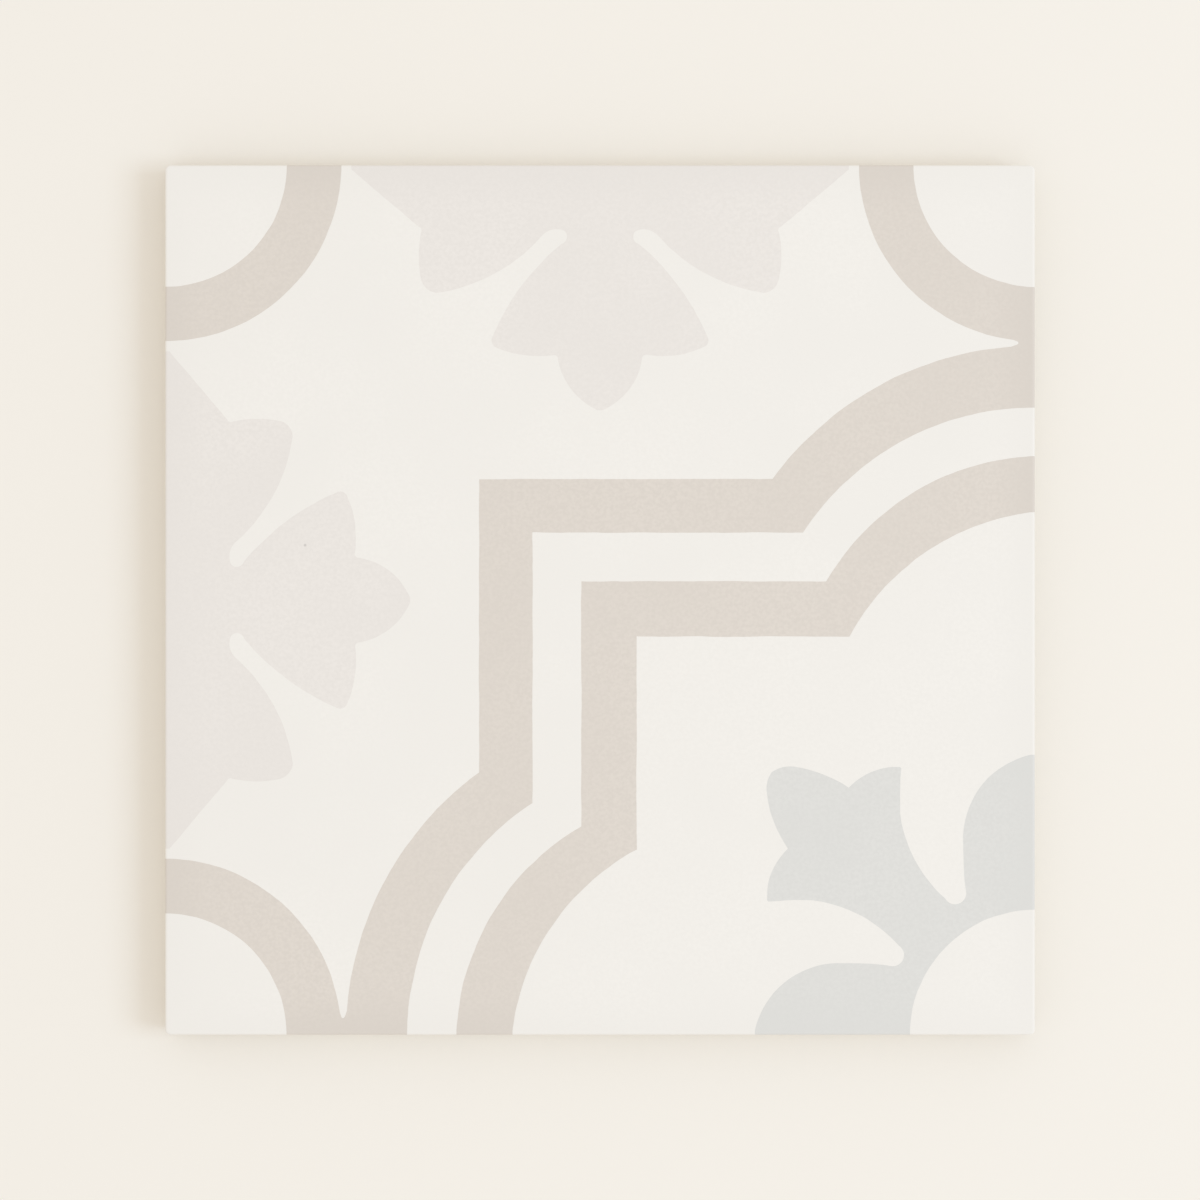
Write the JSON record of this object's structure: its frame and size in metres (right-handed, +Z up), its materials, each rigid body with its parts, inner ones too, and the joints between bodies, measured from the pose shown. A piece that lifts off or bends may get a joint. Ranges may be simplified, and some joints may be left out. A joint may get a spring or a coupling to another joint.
{
  "type": "patterned tile",
  "caption": "Square dry-pressed porcelain tile with a printed matt decor of bands, palmettes and a corner flower, a rounded face arris, drafted sides and a keyed back.",
  "frame": {"origin": "middle of the tile's back, on the rib crossing between its keys", "axes": "+Z up through the face, +X and +Y along the sides; the decor's flower corner is at +X -Y"},
  "size_m": [0.2, 0.2, 0.009],
  "materials": {
    "porcelain": "matt"
  },
  "bodies": {
    "root": {"tile_body": "porcelain"}
  },
  "joints": []
}
